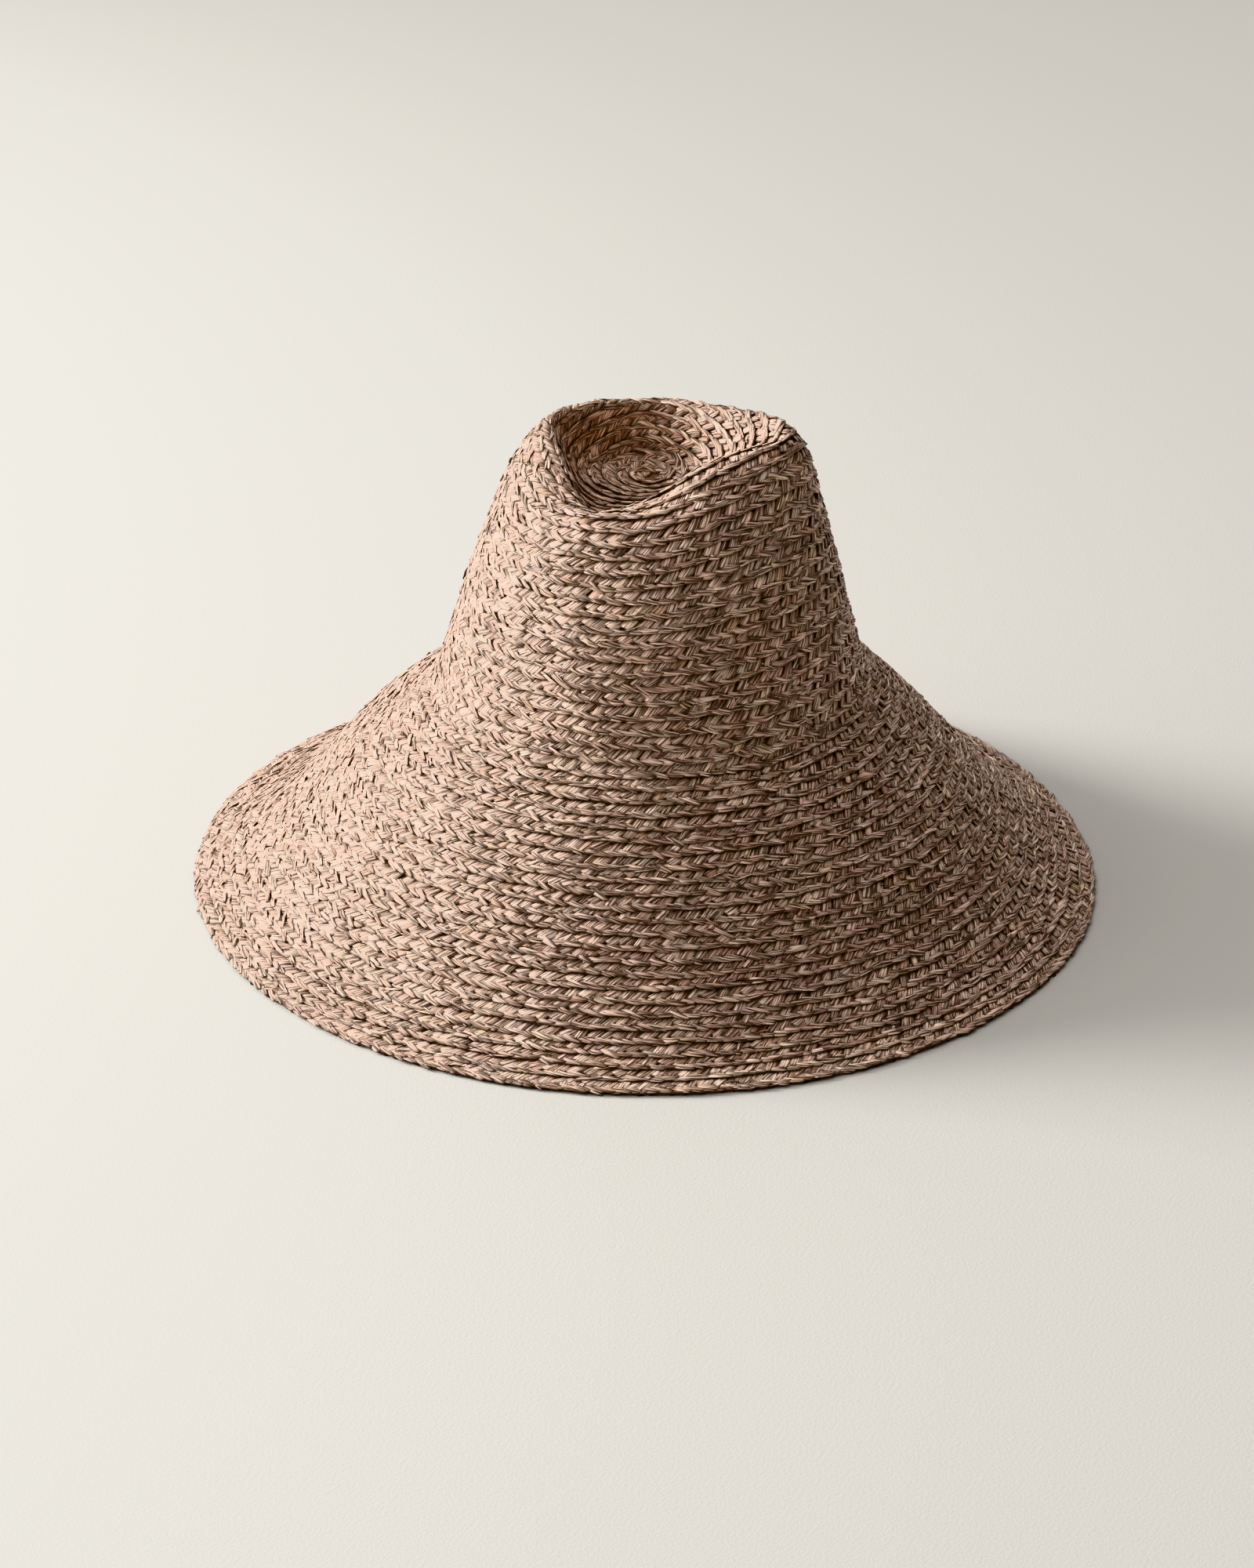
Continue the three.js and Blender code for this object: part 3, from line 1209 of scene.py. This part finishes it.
@dataclass
class Part:
    """A part of the hat: its stretch of the plait, built as a wall with strands on both faces.

    node is the frame's name of the part, columns is the number of the wall's faces round the hat and
    sets the number of pieces that each kind of outer strand is joined into. Kinds of strand and faces
    have seeds of their own, kind_seed_step and inside_seed_step apart.
    """

    form: Form
    plait: Plait
    finish: Raffia
    node: str
    first_turn: float
    last_turn: float
    columns: int
    sets: int
    seed: int
    spacing_mm: float = 5.8
    inner_spacing_mm: float = 7.0
    hair_spacing_mm: float = 38.0
    end_gap_rows: float = 0.02
    kind_seed_step: int = 10
    inside_seed_step: int = 100

    def build(self) -> list[bpy.types.Object]:
        """Builds the part's pieces and hands them to the frame.

        Returns:
            The pieces.
        """
        first = self.first_turn + self.end_gap_rows if self.first_turn > 0 else 0.0
        last = min(self.last_turn - self.end_gap_rows, self.form.rows)
        wall = Wall(self.form, self.plait).build(f"{self.node}_wall", first, last, self.columns)
        wall.data.materials.append(self.finish.wall())
        outer_kinds = {"upper": UPPER, "lower": LOWER}
        inner_kinds = {"inner_upper": INNER_UPPER, "inner_lower": INNER_LOWER}
        pieces = [wall]
        pieces += self._strands(Face.OUTSIDE, outer_kinds, self.spacing_mm, self.sets)
        pieces += self._strands(Face.OUTSIDE, {"loose_ends": HAIR}, self.hair_spacing_mm)
        pieces += self._strands(Face.INSIDE, inner_kinds, self.inner_spacing_mm)
        for piece in pieces:
            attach(piece, ROOT)
            log.info("%s: %d faces", piece.name, len(piece.data.polygons))
        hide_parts(self.node)
        return pieces

    def _strands(self, face: Face, kinds: dict[str, Strand], spacing: float,
                 sets: int = 1) -> list[bpy.types.Object]:
        """Lays the strands of one face, in sets that each stay small enough.

        Args:
            face: the face of the wall that they lie on.
            kinds: the kinds of strand, by the end of their pieces' names.
            spacing: the distance between strands in millimetres.
            sets: the number of pieces for each kind.

        Returns:
            The pieces.
        """
        strands = Strands(self.form, self.plait, face)
        material = self.finish.strands()
        face_seed = self.seed + (self.inside_seed_step if face is Face.INSIDE else 0)
        pieces = []
        for order, (label, kind) in enumerate(kinds.items()):
            seed = face_seed + self.kind_seed_step * order
            stations = self.plait.stations(self.first_turn, self.last_turn, spacing, seed)
            for number, chosen in enumerate(np.array_split(stations, sets)):
                suffix = f"_{number + 1}" if sets > 1 else ""
                piece = strands.lay(f"{self.node}_{label}{suffix}", chosen, kind, seed + number)
                piece.data.materials.append(material)
                pieces.append(piece)
        return pieces


@dataclass(frozen=True)
class Glow:
    """A soft patch of light in the room, centred on one way out from the hat.

    aside is to the picture's right, behind is away from the camera and above is up. focus is the
    power that narrows the patch.
    """

    aside: float
    behind: float
    above: float
    strength: float
    focus: float = 5.0


@dataclass
class Studio:
    """The floor, the soft light and the camera, set out round the hat in metres and degrees.

    key_turn moves the key light from the picture's left towards its back, and key_aside turns it to
    shine in front of the hat.
    """

    camera_azimuth: float = 25.0
    camera_elevation: float = 26.96
    camera_distance: float = 1.916
    camera_reach: float = 50.0
    focal_pixels: float = 5411.0
    frame_height: int = 2000
    aim_aside: float = -0.00883
    aim_height: float = 0.0405
    sensor_mm: float = 36.0
    floor_size: float = 40.0
    floor_colour: tuple = (0.70, 0.677, 0.642)
    floor_grain: float = 700.0
    floor_grain_shade: float = 0.97
    floor_bump_mm: float = 0.4
    floor_bump: float = 0.25
    floor_roughness: float = 0.9
    floor_shine: float = 0.1
    key_turn: float = 12.5
    key_elevation: float = 20.5
    key_distance: float = 2.4
    key_size: float = 1.0
    key_aside: float = -27.0
    key_power: float = 106.0
    key_colour: tuple = (0.98, 1.0, 0.965)
    room_colour: tuple = (1.0, 0.98, 0.945)
    glows: tuple = (Glow(-1, 0, 0.7, 2.0), Glow(0, 1, 0.7, 1.0), Glow(0, 0, 1, 0.5), Glow(1, 0, 0.8, 0.2))
    tones: str = "Khronos PBR Neutral"

    def _axes(self) -> tuple[Vector, Vector]:
        """Returns the picture's right and the way towards the camera, both level."""
        turn = math.radians(self.camera_azimuth)
        right = Vector((math.cos(turn), math.sin(turn), 0))
        towards = Vector((math.sin(turn), -math.cos(turn), 0))
        return right, towards

    def set_camera(self) -> None:
        """Sets the camera at the picture's viewing angle."""
        right, towards = self._axes()
        rise = math.radians(self.camera_elevation)
        aim = right * self.aim_aside + Vector((0, 0, self.aim_height))
        back = towards * math.cos(rise) + Vector((0, 0, math.sin(rise)))
        data = bpy.data.cameras.new("camera")
        data.sensor_fit = "VERTICAL"
        data.sensor_height = self.sensor_mm
        data.lens = self.focal_pixels / self.frame_height * self.sensor_mm
        data.clip_end = self.camera_reach
        camera = bpy.data.objects.new("camera", data)
        camera.location = aim + back * self.camera_distance
        camera.rotation_euler = back.to_track_quat("Z", "Y").to_euler()
        bpy.context.scene.collection.objects.link(camera)
        bpy.context.scene.camera = camera

    def lay_floor(self) -> None:
        """Lays the plain pale floor."""
        mesh = bmesh.new()
        bmesh.ops.create_grid(mesh, x_segments=1, y_segments=1, size=self.floor_size / 2)
        floor = piece_from("floor", mesh)
        graph = Graph(bpy.data.materials.new("floor"))
        place = graph.node("ShaderNodeTexCoord", {}, output="Object")
        grain = graph.grain(place, self.floor_grain)
        shaded = tuple(self.floor_grain_shade * part for part in self.floor_colour)
        colour = graph.mix(grain, shaded, self.floor_colour)
        bump = graph.bump(grain, self.floor_bump_mm, self.floor_bump)
        floor.data.materials.append(
            graph.surface(colour, self.floor_roughness, bump, {"Specular IOR Level": self.floor_shine}))

    def hang_key(self) -> None:
        """Hangs a low soft key light to the left, aimed a little in front of the hat."""
        right, towards = self._axes()
        turn = math.radians(self.key_turn)
        rise = math.radians(self.key_elevation)
        level = -right * math.cos(turn) - towards * math.sin(turn)
        place = (level * math.cos(rise) + Vector((0, 0, math.sin(rise)))) * self.key_distance
        data = bpy.data.lights.new("key", "AREA")
        data.shape = "DISK"
        data.size = self.key_size
        data.energy = self.key_power
        data.color = self.key_colour
        key = bpy.data.objects.new("key", data)
        key.location = place
        aim = Matrix.Rotation(math.radians(self.key_aside), 3, "Z") @ place
        key.rotation_euler = aim.to_track_quat("Z", "Y").to_euler()
        bpy.context.scene.collection.objects.link(key)

    def light_room(self) -> None:
        """Fills the room with soft patches of light, and sets how its tones are shown."""
        right, towards = self._axes()
        bpy.context.scene.world = bpy.data.worlds.new("room")
        graph = Graph(bpy.context.scene.world)
        way = graph.node("ShaderNodeTexCoord", {}, output="Generated")
        light = 0.0
        for glow in self.glows:
            axis = right * glow.aside - towards * glow.behind + Vector((0, 0, glow.above))
            facing = graph.node("ShaderNodeVectorMath", {"operation": "DOT_PRODUCT"},
                                {0: way, 1: axis.normalized()}, output="Value")
            light = light + facing.at_least(0.0)**glow.focus * glow.strength
        shine = graph.node("ShaderNodeBackground", {}, {
            "Color": (*self.room_colour, 1), "Strength": light})
        graph.end("ShaderNodeOutputWorld", shine)
        bpy.context.scene.view_settings.view_transform = self.tones


def main() -> None:
    """Sets the studio and builds the hat's parts in order."""
    studio = Studio()
    studio.set_camera()
    studio.lay_floor()
    studio.hang_key()
    studio.light_room()
    form = Form()
    plait = Plait(form)
    finish = Raffia()
    fold_turn = form.crown_rows
    parts = (
        Part(form, plait, finish, "crown", 0.0, fold_turn, columns=200, sets=2, seed=1),
        Part(form, plait, finish, "brim", fold_turn, plait.turns, columns=288, sets=4, seed=5),
    )
    total = 0
    for part in parts:
        pieces = part.build()
        total += sum(len(piece.data.polygons) for piece in pieces)
    log.info("faces in all: %d", total)
    bpy.context.view_layer.update()


if __name__ == "__main__":
    main()
